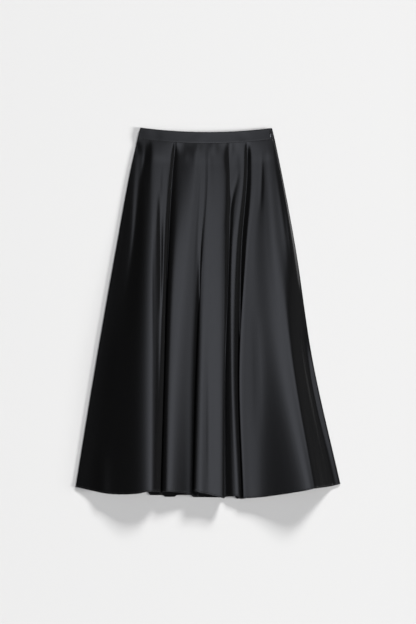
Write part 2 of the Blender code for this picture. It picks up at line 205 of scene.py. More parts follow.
# Section through the waistband: distance below its top edge, and half its wall there
BandRow = namedtuple("BandRow", "below half_wall")
BAND_ROWS = [
    BandRow(*row)
    for row in (
        (0.0, 0.12), (0.1, 0.40), (0.35, 0.66), (0.8, 0.88), (1.5, 1.02), (2.6, 1.08),
        (4.0, 1.04), (6.0, 1.0), (10.0, 0.98), (14.0, 0.97), (18.0, 0.98), (22.0, 1.0),
        (24.5, 1.04), (26.4, 1.06), (27.4, 0.98), (28.1, 0.82), (28.5, 0.60), (28.72, 0.36),
        (28.8, 0.12),
    )
]
# Section through the band's rounded side ends: distance inside the end, and share of the wall
BandEnd = namedtuple("BandEnd", "inside share")
BAND_ENDS = [
    BandEnd(*row)
    for row in (
        (0.0, 0.12), (0.06, 0.36), (0.25, 0.62), (0.6, 0.84), (1.2, 0.97), (2.2, 1.0),
    )
]
FRONT_BAND_CREASES = (
    Crease("band, left hollow", (-150, 470), (-120, 436), 2, 12, -0.25),
    Crease("band, middle swell", (-30, 460), (-10, 432), -2, 26, 0.2),
    Crease("band, right hollow", (96, 462), (80, 436), 2, 14, -0.25),
)


class SkirtCloth(bpy.types.PropertyGroup):
    """Sizes of the cloth and its sewing."""

    panel_wall: FloatProperty(
        name="Cloth", description="Thickness of the satin", default=0.0007, unit="LENGTH"
    )
    crease_depth: FloatProperty(
        name="Creases", description="How deep the creases are", default=1.0, subtype="FACTOR"
    )
    stitch_length: FloatProperty(
        name="Stitch", description="Length of a stitch", default=0.0025, unit="LENGTH"
    )
    stitch_pitch: FloatProperty(
        name="Pitch", description="From one stitch to the next", default=0.0032, unit="LENGTH"
    )
    thread: FloatProperty(
        name="Thread", description="Diameter of the thread", default=0.0003, unit="LENGTH"
    )


class SkirtZip(bpy.types.PropertyGroup):
    """Sizes of the concealed zip."""

    inset: FloatProperty(
        name="Inset", description="From the side edge to the slit", default=0.0056, unit="LENGTH"
    )
    length: FloatProperty(
        name="Length", description="How far down the slit shows", default=0.098, unit="LENGTH"
    )
    lip_width: FloatProperty(
        name="Lip", description="Width of each folded lip", default=0.0015, unit="LENGTH"
    )
    lip_height: FloatProperty(
        name="Lip height", description="How far a lip stands up", default=0.0006, unit="LENGTH"
    )
    lip_gap: FloatProperty(
        name="Slit", description="Width of the slit between the lips", default=0.0005, unit="LENGTH"
    )
    plate: FloatProperty(
        name="Plate", description="Thickness of the slider's plate", default=0.0012, unit="LENGTH"
    )
    arch_wire: FloatProperty(
        name="Arch", description="Thickness of the slider's arch", default=0.0009, unit="LENGTH"
    )
    tab_plate: FloatProperty(
        name="Tab", description="Thickness of the pull tab", default=0.0008, unit="LENGTH"
    )
    tab_crown: FloatProperty(
        name="Crown", description="How far the tab's face bulges", default=0.0003, unit="LENGTH"
    )


class SkirtFinish(bpy.types.PropertyGroup):
    """Colours and gloss."""

    satin: FloatVectorProperty(
        name="Satin", description="Colour of the satin", size=3, subtype="COLOR",
        default=(0.0022, 0.0022, 0.0023),
    )
    satin_sheen: FloatVectorProperty(
        name="Sheen", description="Tint of the satin's gloss", size=3, subtype="COLOR",
        default=(0.97, 0.975, 1.0),
    )
    satin_roughness: FloatProperty(
        name="Roughness", description="Roughness of the satin", default=0.22, subtype="FACTOR"
    )
    thread: FloatVectorProperty(
        name="Thread", description="Colour of the thread", size=3, subtype="COLOR",
        default=(0.006, 0.006, 0.0065),
    )
    metal: FloatVectorProperty(
        name="Metal", description="Colour of the pull tab", size=3, subtype="COLOR",
        default=(0.25, 0.25, 0.26),
    )
    lacquer: FloatVectorProperty(
        name="Lacquer", description="Colour of the slider", size=3, subtype="COLOR",
        default=(0.012, 0.012, 0.013),
    )


class SkirtStage(bpy.types.PropertyGroup):
    """The floor, the light and the camera."""

    floor: FloatVectorProperty(
        name="Floor", description="Colour of the floor", size=3, subtype="COLOR",
        default=(0.565, 0.562, 0.557),
    )
    overhead: FloatProperty(
        name="Overhead", description="Radiance of the overhead light", default=1.73
    )
    overhead_tint: FloatVectorProperty(
        name="Tint", description="Colour of the overhead light", size=3, subtype="COLOR",
        default=(0.885, 0.915, 1.0),
    )
    key: FloatProperty(
        name="Key", description="Light from the upper right", default=80000.0, unit="POWER"
    )
    fill: FloatProperty(
        name="Fill", description="Light from below the hem", default=430.0, unit="POWER"
    )
    side: FloatProperty(
        name="Side", description="Light from the right", default=1.6, unit="POWER"
    )
    low: FloatProperty(
        name="Low", description="Low light from the right", default=100000.0, unit="POWER"
    )
    camera_height: FloatProperty(
        name="Camera", description="Height of the camera", default=3.5, unit="LENGTH"
    )
    view_height: FloatProperty(
        name="View", description="Height of the view at the floor", default=1.5912, unit="LENGTH"
    )


# ---------- curves and walls


def smooth_track(stations, values, places):
    """A smooth curve through values at stations, read at places (cubic Hermite)."""
    stations = np.asarray(stations, float)
    values = np.asarray(values, float)
    slopes = np.gradient(values, stations)
    found = np.searchsorted(stations, places, side="right") - 1
    at = np.clip(found, 0, len(stations) - 2)
    width = stations[at + 1] - stations[at]
    t = (places - stations[at]) / width
    start = values[at] * (1 + 2 * t) * (1 - t) ** 2 + slopes[at] * width * t * (1 - t) ** 2
    end = values[at + 1] * t**2 * (3 - 2 * t) - slopes[at + 1] * width * t**2 * (1 - t)
    return start + end


def on_line(t, start, first, end, last):
    """The point at t of a line that passes first at start and last at end."""
    return ((end - t) * first + (t - start) * last) / (end - start)


def smooth_sections(points, steps):
    """Smooth curves through the points of many sections at once, steps points to a span.

    They are centripetal Catmull-Rom curves, which keep their bends tight where points are close.
    """
    first = 2 * points[:, :1] - points[:, 1:2]
    last = 2 * points[:, -1:] - points[:, -2:-1]
    padded = np.concatenate([first, points, last], axis=1)
    gaps = np.linalg.norm(np.diff(padded[..., :2], axis=1), axis=2) ** 0.5
    knots = np.concatenate([np.zeros((len(points), 1)), np.cumsum(gaps, axis=1)], axis=1)
    curve = []
    for i in range(1, padded.shape[1] - 2):
        p0, p1, p2, p3 = (padded[:, i + k] for k in (-1, 0, 1, 2))
        t0, t1, t2, t3 = (knots[:, i + k, None] for k in (-1, 0, 1, 2))
        for step in range(steps):
            t = t1 + (t2 - t1) * step / steps
            a1 = on_line(t, t0, p0, t1, p1)
            a2 = on_line(t, t1, p1, t2, p2)
            a3 = on_line(t, t2, p2, t3, p3)
            b1 = on_line(t, t0, a1, t2, a2)
            b2 = on_line(t, t1, a2, t3, a3)
            curve.append(on_line(t, t1, b1, t2, b2))
    curve.append(padded[:, -2])
    return np.stack(curve, axis=1)


def crease_heights(x, y, creases):
    """How far the creases raise or lower the cloth at x and y."""
    total = np.zeros_like(x)
    for crease in creases:
        start = np.array(crease.start, float)
        run = np.array(crease.end, float) - start
        length = np.linalg.norm(run)
        direction = run / length
        from_x = x - start[0]
        from_y = y - start[1]
        share = (from_x * direction[0] + from_y * direction[1]) / length
        aside = from_y * direction[0] - from_x * direction[1]
        aside = aside - crease.bow * 4 * share * (1 - share)
        taper = np.clip(1 - (2 * share - 1) ** 2, 0, 1) ** CREASE_TAPER
        total += crease.height * taper * np.exp(-((aside / crease.width) ** 2))
    return total


def surface_normals(grid):
    """Unit normals of a grid of points, pointing up where the grid lies flat."""
    down = np.gradient(grid, axis=0)
    along = np.gradient(grid, axis=1)
    normals = np.cross(down, along)
    return normals / np.linalg.norm(normals, axis=2, keepdims=True)


def steps_between(grid, axis):
    """The distances between neighbouring points of a grid, along one axis."""
    return np.linalg.norm(np.diff(grid, axis=axis), axis=2)


def cloth_map(grid):
    """Places of a grid's points on the flat cloth, in metres: across from the middle, and down."""
    across = np.zeros(grid.shape[:2])
    across[:, 1:] = np.cumsum(steps_between(grid, 1), axis=1)
    across -= across[:, grid.shape[1] // 2, None]
    down = np.zeros(grid.shape[:2])
    down[1:] = -np.cumsum(steps_between(grid, 0), axis=0)
    return np.stack([across, down], axis=2) * MM


def grid_faces(rows, columns, first):
    """Faces of a grid of points whose numbers start at first."""
    at = first + np.arange(rows * columns).reshape(rows, columns)
    corners = [at[:-1, :-1], at[1:, :-1], at[1:, 1:], at[:-1, 1:]]
    return np.stack(corners, axis=2).reshape(-1, 4)


def wall_faces(rows, columns):
    """Faces of a closed wall: an upper grid, a lower grid and the rim between them."""
    count = rows * columns
    at = np.arange(count).reshape(rows, columns)
    faces = [grid_faces(rows, columns, 0), grid_faces(rows, columns, count)[:, ::-1]]
    border = np.concatenate([at[:, 0], at[-1, 1:], at[-2::-1, -1], at[0, -2:0:-1]])
    after = np.roll(border, -1)
    faces.append(np.stack([border, border + count, after + count, after], axis=1))
    return np.concatenate(faces)


def add_mesh(name, points, faces, material, uv=None):
    """An object from points in millimetres, with a smooth surface and its sharp corners kept."""
    mesh = bpy.data.meshes.new(name)
    mesh.from_pydata((points * MM).tolist(), [], [list(face) for face in faces])
    mesh.shade_smooth()
    mesh.set_sharp_from_angle(angle=radians(SHARP_ANGLE))
    if uv is not None:
        layer = mesh.uv_layers.new(name="cloth")
        corners = np.zeros(len(mesh.loops), int)
        mesh.loops.foreach_get("vertex_index", corners)
        layer.data.foreach_set("uv", uv[corners].astype(np.float32).ravel())
    mesh.materials.append(material)
    thing = bpy.data.objects.new(name, mesh)
    bpy.context.scene.collection.objects.link(thing)
    return thing


def add_wall(name, grid, half_wall, material, inside=None, inner_side=None):
    """A closed wall of cloth round a grid of points.

    half_wall is one number, one a row or one a point. inner_side is 0 where the cloth's wrong
    side is the upper one and 1 where it is the lower, and inside is that side's material.
    """
    rows, columns = grid.shape[:2]
    half = np.asarray(half_wall, float)
    if half.ndim < 2:
        half = half.reshape(-1, 1)
    half = np.broadcast_to(half, (rows, columns))[..., None]
    normals = surface_normals(grid)
    points = np.concatenate([grid + normals * half, grid - normals * half]).reshape(-1, 3)
    uv = np.tile(cloth_map(grid).reshape(-1, 2), (2, 1))
    thing = add_mesh(name, points, wall_faces(rows, columns), material, uv)
    if inside is not None:
        thing.data.materials.append(inside)
        side = (rows - 1) * (columns - 1)
        used = np.zeros(len(thing.data.polygons), int)
        used[inner_side * side : (inner_side + 1) * side] = 1
        thing.data.polygons.foreach_set("material_index", used)
    return thing


def turned_edge(grid, radius, sign):
    """A grid with its side edges turned down (sign -1) or up (sign 1) in a quarter round.

    The grid ends radius short of each edge, and the turn makes up for it.
    """
    turns = np.linspace(0, pi / 2, TURN_STEPS + 1)[1:]
    out = np.stack([np.sin(turns), np.zeros(TURN_STEPS), sign * (1 - np.cos(turns))], axis=1)
    right = grid[:, -1:] + radius * out
    left = grid[:, :1] + radius * out * (-1, 1, 1)
    return np.concatenate([left[:, ::-1], grid, right], axis=1)


# ---------- surfaces of the skirt


def band_y(x, below_top):
    """The y of a line that runs along the waistband, below its top edge."""
    return BAND_TOP_Y - below_top + BAND_SAG * (x / BAND_HALF) ** 2


def band_crown(x):
    """How far the front of the waistband stands off the back at x."""
    return BAND_CROWN * np.clip(1 - (x / BAND_HALF) ** 2, 0, 1)


def panel_shares():
    """Shares of a panel's length at which it has a row, above the rolled hem."""
    return np.linspace(0.0, 1.0, PANEL_ROWS + 1) ** ROW_SPREAD


def panel_rows_y(top, hem):
    """The y of each row, given the y of the top and the hem of each column."""
    body_end = hem + HEM_ROWS[0].above + HEM_CLEAR
    body = top + (body_end - top) * panel_shares()[:, None]
    rolled = hem + np.array([row.above for row in HEM_ROWS])[:, None]
    return np.concatenate([body, rolled])


def panel_half_walls(cloth):
    """Half the wall of a panel at each row: even, then the rolled hem."""
    even = np.full(PANEL_ROWS + 1, cloth.panel_wall / MM / 2)
    return np.concatenate([even, [row.half_wall for row in HEM_ROWS]])


def front_surface(cloth):
    """The front panel's middle surface: rows from waist to hem, columns across."""
    start_x = np.array([line.across[0] for line in FRONT_LINES], float)
    top = band_y(start_x, BAND_HEIGHT + SEAM_GAP)
    hem = np.array([line.hem for line in FRONT_LINES], float)
    y = panel_rows_y(top, hem)
    share = (top - y) / (top - hem)
    x = np.zeros_like(y)
    z = np.zeros_like(y)
    for k, line in enumerate(FRONT_LINES):
        x[:, k] = smooth_track(LEVELS, line.across, share[:, k])
        height = smooth_track(LEVELS[1:], line.height, np.maximum(share[:, k], LEVELS[1]))
        seam_z = FRONT_BAND_MIDDLE + band_crown(start_x[k])
        risen = 1 - np.clip(1 - share[:, k] / RISE, 0, 1) ** RISE_SPEED
        z[:, k] = seam_z + (height - seam_z) * risen
    x[:, 0] += FRONT_TURN
    x[:, -1] -= FRONT_TURN
    x, z, y = np.moveaxis(smooth_sections(np.stack([x, z, y], axis=2), FRONT_STEPS), 2, 0)
    z = np.maximum(z, LOW)
    z = z + cloth.crease_depth * crease_heights(x, y, FRONT_CREASES)
    return turned_edge(np.stack([x, y, z], axis=2), FRONT_TURN, -1)


def back_surface(cloth):
    """The back panel's middle surface, flat but for its creases, between the same side seams."""
    columns = np.linspace(0.0, 1.0, BACK_COLUMNS + 1)
    hem = np.interp(columns, [row.share for row in BACK_HEM], [row.y for row in BACK_HEM])
    seam_x = BAND_SEAM_LEFT + (BAND_SEAM_RIGHT - BAND_SEAM_LEFT) * columns
    top = band_y(seam_x, BAND_HEIGHT + SEAM_GAP)
    y = panel_rows_y(top, hem)
    share = (top - y) / (top - hem)
    left = smooth_track(LEVELS, FRONT_LINES[0].across, share) + BACK_TURN
    right = smooth_track(LEVELS, FRONT_LINES[-1].across, share) - BACK_TURN
    x = left + (right - left) * columns
    z = np.maximum.accumulate(panel_half_walls(cloth))[:, None] + 0 * x
    z = z + cloth.crease_depth * crease_heights(x, y, BACK_CREASES)
    return turned_edge(np.stack([x, y, z], axis=2), BACK_TURN, 1)


def band_surface(height, crown):
    """A waistband half's middle surface; crown is the share of the arch that it has."""
    below = np.array([row.below for row in BAND_ROWS])[:, None]
    share = below / BAND_HEIGHT
    left = BAND_TOP_LEFT + (BAND_SEAM_LEFT - BAND_TOP_LEFT) * share
    right = BAND_TOP_RIGHT + (BAND_SEAM_RIGHT - BAND_TOP_RIGHT) * share
    ends = np.array([end.inside for end in BAND_ENDS])
    inner_left = left + ends[-1]
    inner_right = right - ends[-1]
    columns = np.linspace(0.0, 1.0, BAND_COLUMNS + 1)[1:-1]
    middle = inner_left + (inner_right - inner_left) * columns
    x = np.concatenate([left + ends, middle, right - ends[::-1]], axis=1)
    y = band_y(x, below)
    z = height + crown * (band_crown(x) + crease_heights(x, y, FRONT_BAND_CREASES))
    return np.stack([x, y, z], axis=2)


def band_half_walls():
    """Half the wall of a waistband half at each of its points."""
    rows = np.array([row.half_wall for row in BAND_ROWS])[:, None]
    ends = [end.share for end in BAND_ENDS]
    return rows * np.array([*ends, *[1.0] * (BAND_COLUMNS - 1), *ends[::-1]])


# ---------- materials

# How often each pattern repeats in a metre, along its three axes
FLOATS = (5200.0, 620.0, 1.0)
SLUBS = (420.0, 26.0, 1.0)
WEAVE = (900.0, 3200.0, 1.0)
TWIST = (6000.0, 6000.0, 6000.0)
SCRATCHES = (900.0, 9000.0, 900.0)
WEAR = (1400.0, 1400.0, 1400.0)
GRAIN = (300.0, 300.0, 300.0)
PLAIN_DETAIL = 2.0
FINE_DETAIL = 4.0
GLOSS_SPREAD = 0.025  # how far the satin's roughness varies to each side

Look = namedtuple("Look", "material shader nodes links place")


def new_material(name, on_cloth):
    """A material, its shader, nodes and links, and the places that its patterns read.

    Those are the cloth's own map where on_cloth is true, and else the piece's coordinates.
    """
    material = bpy.data.materials.new(name)
    material.use_nodes = True
    tree = material.node_tree
    if on_cloth:
        cloth = tree.nodes.new("ShaderNodeUVMap")
        cloth.uv_map = "cloth"
        place = cloth.outputs["UV"]
    else:
        place = tree.nodes.new("ShaderNodeTexCoord").outputs["Object"]
    return Look(material, tree.nodes["Principled BSDF"], tree.nodes, tree.links, place)


def stretched_noise(look, scale, detail=PLAIN_DETAIL):
    """Noise with its own scale along each axis."""
    mapping = look.nodes.new("ShaderNodeMapping")
    mapping.inputs["Scale"].default_value = scale
    noise = look.nodes.new("ShaderNodeTexNoise")
    noise.inputs["Scale"].default_value = 1.0
    noise.inputs["Detail"].default_value = detail
    look.links.new(look.place, mapping.inputs["Vector"])
    look.links.new(mapping.outputs["Vector"], noise.inputs["Vector"])
    return noise.outputs["Fac"]


def vary_colour(look, pattern, colour, dark, light):
    """Gives the shader a colour that the pattern takes from dark to light, as shares of it."""
    mix = look.nodes.new("ShaderNodeMix")
    mix.data_type = "RGBA"
    mix.inputs["A"].default_value = (*[dark * part for part in colour], 1.0)
    mix.inputs["B"].default_value = (*[light * part for part in colour], 1.0)
    look.links.new(pattern, mix.inputs["Factor"])
    look.links.new(mix.outputs["Result"], look.shader.inputs["Base Color"])


def vary_roughness(look, pattern, low, high):
    """Gives the shader a roughness that the pattern takes from low to high."""
    span = look.nodes.new("ShaderNodeMapRange")
    span.inputs["To Min"].default_value = low
    span.inputs["To Max"].default_value = high
    look.links.new(pattern, span.inputs["Value"])
    look.links.new(span.outputs["Result"], look.shader.inputs["Roughness"])


def add_relief(look, pattern, distance, strength):
    """Gives the shader a bump of the pattern."""
    bump = look.nodes.new("ShaderNodeBump")
    bump.inputs["Distance"].default_value = distance
    bump.inputs["Strength"].default_value = strength
    look.links.new(pattern, bump.inputs["Height"])
    look.links.new(bump.outputs["Normal"], look.shader.inputs["Normal"])


def satin_material(name, finish):
    """Black satin: long warp floats on the face, with slubs and a slightly uneven gloss."""
    look = new_material(name, on_cloth=True)
    floats = stretched_noise(look, FLOATS)
    slubs = stretched_noise(look, SLUBS)
    rough = finish.satin_roughness
    vary_colour(look, floats, finish.satin, dark=0.75, light=1.25)
    vary_roughness(look, slubs, rough - GLOSS_SPREAD, rough + GLOSS_SPREAD)
    look.shader.inputs["Specular Tint"].default_value = (*finish.satin_sheen, 1.0)
    add_relief(look, floats, distance=0.00002, strength=0.25)
    return look.material


def inside_material(name, finish):
    """The wrong side of the satin, which is dull."""
    look = new_material(name, on_cloth=True)
    weave = stretched_noise(look, WEAVE)
    vary_colour(look, weave, finish.satin, dark=0.7, light=1.4)
    look.shader.inputs["Roughness"].default_value = 0.62
    look.shader.inputs["Specular IOR Level"].default_value = 0.16
    add_relief(look, weave, distance=0.00003, strength=0.5)
    return look.material


def thread_material(name, finish):
    """Black polyester thread with a fine twist."""
    look = new_material(name, on_cloth=False)
    twist = stretched_noise(look, TWIST)
    vary_colour(look, twist, finish.thread, dark=1.0, light=2.0)
    look.shader.inputs["Roughness"].default_value = 0.4
    add_relief(look, twist, distance=0.00003, strength=0.4)
    return look.material


def metal_material(name, finish):
    """Polished zinc with fine handling scratches."""
    look = new_material(name, on_cloth=False)
    scratches = stretched_noise(look, SCRATCHES, FINE_DETAIL)
    vary_colour(look, scratches, finish.metal, dark=0.86, light=1.0)
    vary_roughness(look, scratches, low=0.12, high=0.24)
    look.shader.inputs["Metallic"].default_value = 1.0
    add_relief(look, scratches, distance=0.000005, strength=0.3)
    return look.material


def lacquer_material(name, finish):
    """Black lacquer on the slider, a little worn."""
    look = new_material(name, on_cloth=False)
    wear = stretched_noise(look, WEAR, FINE_DETAIL)
    vary_colour(look, wear, finish.lacquer, dark=1.0, light=2.2)
    vary_roughness(look, wear, low=0.22, high=0.4)
    add_relief(look, wear, distance=0.00001, strength=0.3)
    return look.material


MATERIALS = {
    "black_satin": satin_material,
    "black_band_satin": satin_material,
    "black_satin_inside": inside_material,
    "black_thread": thread_material,
    "polished_zip_metal": metal_material,
    "black_zip_lacquer": lacquer_material,
}


def shared_material(context, name):
    """The material of that name, made once."""
    return bpy.data.materials.get(name) or MATERIALS[name](name, context.scene.skirt_finish)


# ---------- sewing


def tube_faces(rings, sides, first):
    """Faces of a closed tube of rings of points, with its two caps."""
    at = first + np.arange(rings * sides).reshape(rings, sides)
    after = np.roll(at, -1, axis=1)
    around = np.stack([at[:-1], after[:-1], after[1:], at[1:]], axis=2).reshape(-1, 4)
    return [*around.tolist(), at[0, ::-1].tolist(), at[-1].tolist()]


def point_at(place, lengths, points):
    """The point at a length along a row of points."""
    return np.array([np.interp(place, lengths, points[:, k]) for k in range(3)])


# Rings of points along a stitch: how far each lies from its middle as a share of half its length,
# and how far up it lies and how wide it is as shares of the thread's radius
StitchRing = namedtuple("StitchRing", "out up wide")
STITCH_RINGS = [
    StitchRing(*ring)
    for ring in ((-1.0, 0.1, 0.5), (-0.6, 0.75, 1.0), (0.6, 0.75, 1.0), (1.0, 0.1, 0.5))
]
THREAD_SIDES = 6
LIP_SIDES = 12
LIP_FADE = 0.35  # share of the slit's length over which its lips sink into the cloth
LIP_SUNK = 0.9  # how deep they sink, as a share of their height


def stitches_on(name, path, normals, cloth, material):
    """A row of short stitches along a path on cloth, joined in one piece."""
    lengths = np.concatenate([[0.0], np.cumsum(np.linalg.norm(np.diff(path, axis=0), axis=1))])
    pitch = cloth.stitch_pitch / MM
    half = cloth.stitch_length / MM / 2
    radius = cloth.thread / MM / 2
    angles = np.linspace(0, 2 * pi, THREAD_SIDES, endpoint=False)
    points = []
    faces = []
    for middle in np.arange(pitch, lengths[-1] - pitch, pitch):
        centres = [point_at(middle + half * ring.out, lengths, path) for ring in STITCH_RINGS]
        up = point_at(middle, lengths, normals)
        up /= np.linalg.norm(up)
        aside = np.cross(up, centres[-1] - centres[0])
        aside /= np.linalg.norm(aside)
        faces += tube_faces(len(STITCH_RINGS), THREAD_SIDES, len(points))
        for centre, ring in zip(centres, STITCH_RINGS):
            for angle in angles:
                spoke = np.cos(angle) * aside + np.sin(angle) * up
                points.append(centre + up * ring.up * radius + spoke * ring.wide * radius)
    return add_mesh(name, np.array(points), faces, material)


def lip_on(name, path, aside, up, offset, zip_sizes, material):
    """One folded lip of the zip's slit: a half-round rib along a path on the cloth."""
    width = zip_sizes.lip_width / MM
    height = zip_sizes.lip_height / MM
    angles = np.linspace(0, 2 * pi, LIP_SIDES, endpoint=False)
    along = np.linspace(0, 1, len(path))
    fade = np.clip((1 - along) / LIP_FADE, 0, 1)[:, None, None]
    section_aside = (np.cos(angles) * width / 2)[None, :, None]
    section_up = (np.sin(angles) * height)[None, :, None]
    rings = path[:, None] + aside[:, None] * (offset + section_aside)
    rings = rings + up[:, None] * (section_up - LIP_SUNK * height * (1 - fade))
    return add_mesh(name, rings.reshape(-1, 3), tube_faces(len(path), LIP_SIDES, 0), material)


def inside_right_edge(grid, inset):
    """Points and normals of a surface that lie inset from its right edge, one a row."""
    back = grid[:, ::-1]
    normals = surface_normals(grid)[:, ::-1]
    lengths = np.zeros(grid.shape[:2])
    lengths[:, 1:] = np.cumsum(steps_between(back, 1), axis=1)
    points = np.array([point_at(inset, row, line) for row, line in zip(lengths, back)])
    ups = np.array([point_at(inset, row, line) for row, line in zip(lengths, normals)])
    return points, ups / np.linalg.norm(ups, axis=1, keepdims=True)


# ---------- hard pieces

# Sizes of the hard pieces, in metres
SLIDER_STEP = 0.0004  # the plate's rim
SLIDER_EDGE = 0.00015
SLIDER_CORNER = 0.38  # radius of the plate's corners, as a share of its width
SLIDER_CORNER_STEPS = 6
ARCH_HALF = 0.0019  # half the arch's length, between the middles of its feet
ARCH_SIDES = 14
ARCH_STEPS = 18
ARCH_BROAD = 1.25  # how much broader than thick its wire is
TAB_NECK = 0.76  # the tab's width at its neck, as a share of its round end
TAB_SIDES = 40
TAB_ABOVE = 0.05  # a point counts as above the round end's middle past this share of its radius
TAB_BAR = 0.0008  # the bar that turns under the arch
TAB_HOLE_LENGTH = 0.0028
TAB_HOLE_HALF = 0.001
TAB_HOLE_SIDES = 28
TAB_EDGE = 0.00012
# Steps up the tab's crown: each goes in by a share of the round end's radius and up by a share of
# the crown
TAB_CROWN_STEPS = ((0.22, 0.55), (0.22, 0.3), (0.2, 0.15))
EDGE_STEPS = 3
EDGE_ANGLE = 35  # degrees past which an edge is rounded
SMOOTH_ANGLE = 40
UPWARD = 0.9  # a face points up where its normal's z is above this


def start_shape(name, add, **details):
    """A new shape that the operator add makes, all selected in edit mode."""
    bpy.ops.object.select_all(action="DESELECT")
    add(**details)
    thing = bpy.context.object
    thing.name = name
    bpy.ops.object.mode_set(mode="EDIT")
    bpy.ops.mesh.select_all(action="SELECT")
    return thing


def select_parts(thing, kind, wanted):
    """Opens a piece in edit mode and selects its points, edges or faces that wanted accepts.

    Their places count from the piece's origin.
    """
    bpy.context.view_layer.objects.active = thing
    bpy.ops.object.mode_set(mode="EDIT")
    bpy.ops.mesh.select_mode(type=kind)
    bpy.ops.mesh.select_all(action="DESELECT")
    mesh = bmesh.from_edit_mesh(thing.data)
    for part in {"VERT": mesh.verts, "EDGE": mesh.edges, "FACE": mesh.faces}[kind]:
        part.select = wanted(part)
    mesh.select_flush(True)
    bmesh.update_edit_mesh(thing.data)


def cut_or_join(thing, tool, operation):
    """Joins thing with tool or cuts it, and removes the tool."""
    bpy.context.view_layer.objects.active = thing
    change = thing.modifiers.new("shape", "BOOLEAN")
    change.operation = operation
    change.solver = "EXACT"
    change.object = tool
    bpy.ops.object.modifier_apply(modifier=change.name)
    bpy.data.objects.remove(tool, do_unlink=True)


def soften(thing, width):
    """Rounds a piece's edges."""
    bpy.context.view_layer.objects.active = thing
    bevel = thing.modifiers.new("edges", "BEVEL")
    bevel.width = width
    bevel.segments = EDGE_STEPS
    bevel.limit_method = "ANGLE"
    bevel.angle_limit = radians(EDGE_ANGLE)
    bpy.ops.object.modifier_apply(modifier=bevel.name)


def settle_piece(thing, material):
    """Puts a finished hard piece's place in its mesh, and gives it its finish."""
    bpy.ops.object.select_all(action="DESELECT")
    thing.select_set(True)
    bpy.context.view_layer.objects.active = thing
    bpy.ops.object.transform_apply(location=True, rotation=True, scale=True)
    bpy.ops.object.shade_smooth_by_angle(angle=radians(SMOOTH_ANGLE))
    thing.data.materials.clear()
    thing.data.materials.append(material)


# ---------- operators


def add_panel(context, name, grid, inner_side):
    """A skirt panel round its middle surface, with the satin's dull side on its inner side."""
    satin = shared_material(context, "black_satin")
    inside = shared_material(context, "black_satin_inside")
    half_walls = panel_half_walls(context.scene.skirt_cloth)
    return add_wall(name, grid, half_walls, satin, inside, inner_side)


class SKIRT_OT_front_panel(bpy.types.Operator):
    """Makes the front panel with its flutes and its rolled hem"""

    bl_idname = "skirt.front_panel"
    bl_label = "Front panel"

    def execute(self, context):
        grid = front_surface(context.scene.skirt_cloth)
        panel = add_panel(context, "front_panel_cloth", grid, 1)
        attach(panel, "skirt")
        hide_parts("front_panel")
        return {"FINISHED"}


class SKIRT_OT_back_panel(bpy.types.Operator):
    """Makes the back panel, which lies flat on the surface"""

    bl_idname = "skirt.back_panel"
    bl_label = "Back panel"

    def execute(self, context):
        grid = back_surface(context.scene.skirt_cloth)
        panel = add_panel(context, "back_panel_cloth", grid, 0)
        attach(panel, "skirt")
        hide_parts("back_panel")
        return {"FINISHED"}


class SKIRT_OT_waistband(bpy.types.Operator):
    """Makes the front and back halves of the waistband"""

    bl_idname = "skirt.waistband"
    bl_label = "Waistband"

    def execute(self, context):
        satin = shared_material(context, "black_band_satin")
        for side, height, crown in (("back", BACK_BAND_MIDDLE, 0), ("front", FRONT_BAND_MIDDLE, 1)):
            grid = band_surface(height, crown)
            band = add_wall(f"{side}_waistband_cloth", grid, band_half_walls(), satin)
            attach(band, "skirt")
            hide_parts(f"{side}_waistband")
        return {"FINISHED"}


class SKIRT_OT_hem_stitches(bpy.types.Operator):
    """Sews the hems of both panels"""

    bl_idname = "skirt.hem_stitches"
    bl_label = "Hem stitches"

    def execute(self, context):
        cloth = context.scene.skirt_cloth
        thread = shared_material(context, "black_thread")
        nearest = min(HEM_ROWS, key=lambda hem_row: abs(hem_row.above - STITCH_ABOVE))
        row = PANEL_ROWS + 1 + HEM_ROWS.index(nearest)
        half_wall = panel_half_walls(cloth)[row]
        for side, grid, sign in (("front", front_surface(cloth), 1), ("back", back_surface(cloth), -1)):
            ups = surface_normals(grid)[row, TURN_STEPS:-TURN_STEPS] * sign
            path = grid[row, TURN_STEPS:-TURN_STEPS] + ups * half_wall
            sewn = stitches_on(f"{side}_hem_stitches", path, ups, cloth, thread)
            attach(sewn, "skirt")
        return {"FINISHED"}


class SKIRT_OT_zip_slit(bpy.types.Operator):
    """Makes the lips of the concealed zip's slit, on the band and on the panel"""

    bl_idname = "skirt.zip_slit"
    bl_label = "Zip slit"

    def execute(self, context):
        cloth = context.scene.skirt_cloth
        sizes = context.scene.skirt_zip
        thread = shared_material(context, "black_thread")
        inset = sizes.inset / MM
        path, ups = inside_right_edge(front_surface(cloth), inset)
        shown = path[:, 1] > BAND_TOP_Y - sizes.length / MM
        band_path, band_ups = inside_right_edge(band_surface(FRONT_BAND_MIDDLE, 1), inset)
        half_band = np.array([row.half_wall for row in BAND_ROWS])[:, None]
        band_path = band_path + band_ups * half_band
        path = path + ups * (cloth.panel_wall / MM / 2)
        path = np.concatenate([band_path[1:-1], path[shown]])
        ups = np.concatenate([band_ups[1:-1], ups[shown]])
        aside = np.cross(ups, np.gradient(path, axis=0))
        aside /= np.linalg.norm(aside, axis=1, keepdims=True)
        offset = (sizes.lip_width + sizes.lip_gap) / MM / 2
        for name, side in (("zip_lip_front", -offset), ("zip_lip_back", offset)):
            lip = lip_on(name, path, aside, ups, side, sizes, thread)
            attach(lip, "skirt")
        return {"FINISHED"}


